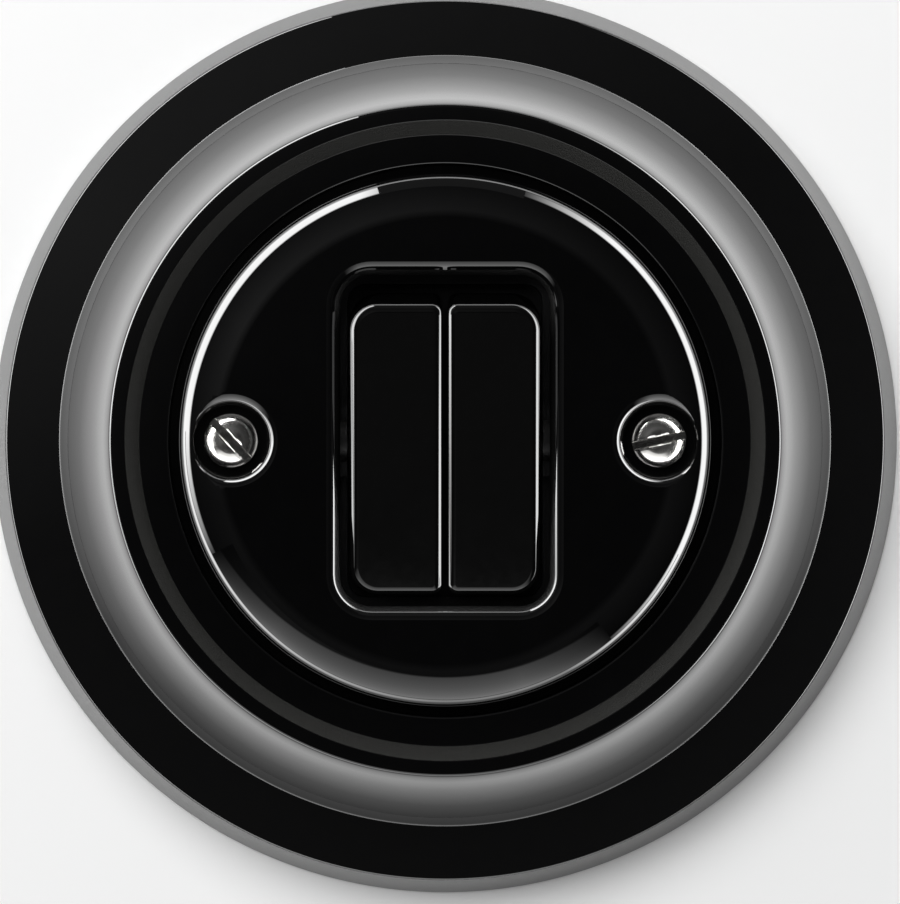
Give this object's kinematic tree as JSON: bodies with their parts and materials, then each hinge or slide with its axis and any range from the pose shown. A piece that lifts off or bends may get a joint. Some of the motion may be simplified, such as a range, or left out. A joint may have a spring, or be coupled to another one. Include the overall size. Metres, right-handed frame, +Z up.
{
  "type": "pushbutton dimmer",
  "caption": "Round flush wall dimmer: black glazed frame and screwed cover disc, spring-returned push keys on an axle, and a dimmer mechanism in a cup behind the mounting plate.",
  "frame": {"origin": "on the axis of the frame, in the wall plane, midway between the box screw slots", "axes": "+Z up, -Y out of the wall towards the user, +Y into the flush box"},
  "size_m": [0.1022, 0.0434, 0.1022],
  "materials": {
    "black_glaze": "deep black high-gloss glaze on porcelain",
    "key_black": "polished black moulding",
    "nickel": "polished nickel plate",
    "steel": "plain drawn steel",
    "zinc_plate": "zinc plated sheet steel",
    "brass": "plain turned brass",
    "carrier_moulding": "matt black moulding",
    "plunger_moulding": "natural white moulding",
    "housing_moulding": "dark grey matt moulding",
    "component_black": "matt black component case",
    "board": "green solder resist on glass laminate",
    "ferrite": "dark sintered ferrite",
    "copper": "enamelled copper wire",
    "capacitor_case": "yellow moulded case",
    "fuse_glass": "clear glass tube"
  },
  "bodies": {
    "base": {"outer_frame": "black_glaze", "cover_disc": "black_glaze", "cover_screw_left": "nickel", "cover_screw_right": "nickel", "screw_posts": "brass", "key_axle": "steel", "key_carrier": "carrier_moulding", "left_return_spring": "steel", "right_return_spring": "steel", "left_push_switch": "component_black", "right_push_switch": "component_black", "mounting_plate": "zinc_plate", "carrier_screws": "steel", "mechanism_housing": "housing_moulding", "circuit_board": "board", "control_chip": "component_black", "triac": "component_black", "choke_core": "ferrite", "choke_winding": "copper", "film_capacitor": "capacitor_case", "fuse_tube": "fuse_glass", "fuse_caps": "nickel", "fuse_clips": "brass", "terminal_cages": "brass", "terminal_screws": "steel"},
    "left_key": {"left_key": "key_black"},
    "right_key": {"right_key": "key_black"},
    "left_plunger": {"left_plunger": "plunger_moulding"},
    "right_plunger": {"right_plunger": "plunger_moulding"}
  },
  "joints": [
    {"name": "left_plunger_slide", "type": "slide", "parent": "base", "child": "left_plunger", "axis": [0, 1, 0], "range_m": [0, 0.00214], "stiffness_N_per_m": 380, "springref_m": -0.005, "deforming": ["left_return_spring"]},
    {"name": "right_plunger_slide", "type": "slide", "parent": "base", "child": "right_plunger", "axis": [0, 1, 0], "range_m": [0, 0.00214], "stiffness_N_per_m": 380, "springref_m": -0.005, "deforming": ["right_return_spring"]},
    {"name": "left_key_rock", "type": "hinge", "parent": "base", "child": "left_key", "pos_m": [-0.00545, -0.00592, 0], "axis": [-1, 0, 0], "range_deg": [0, 12]},
    {"name": "right_key_rock", "type": "hinge", "parent": "base", "child": "right_key", "pos_m": [0.00545, -0.00592, 0], "axis": [-1, 0, 0], "range_deg": [0, 12]}
  ],
  "couplings": [
    {"joint": "left_key_rock", "follows": "left_plunger_slide", "rad_per_m": 97.688},
    {"joint": "right_key_rock", "follows": "right_plunger_slide", "rad_per_m": 97.688}
  ]
}
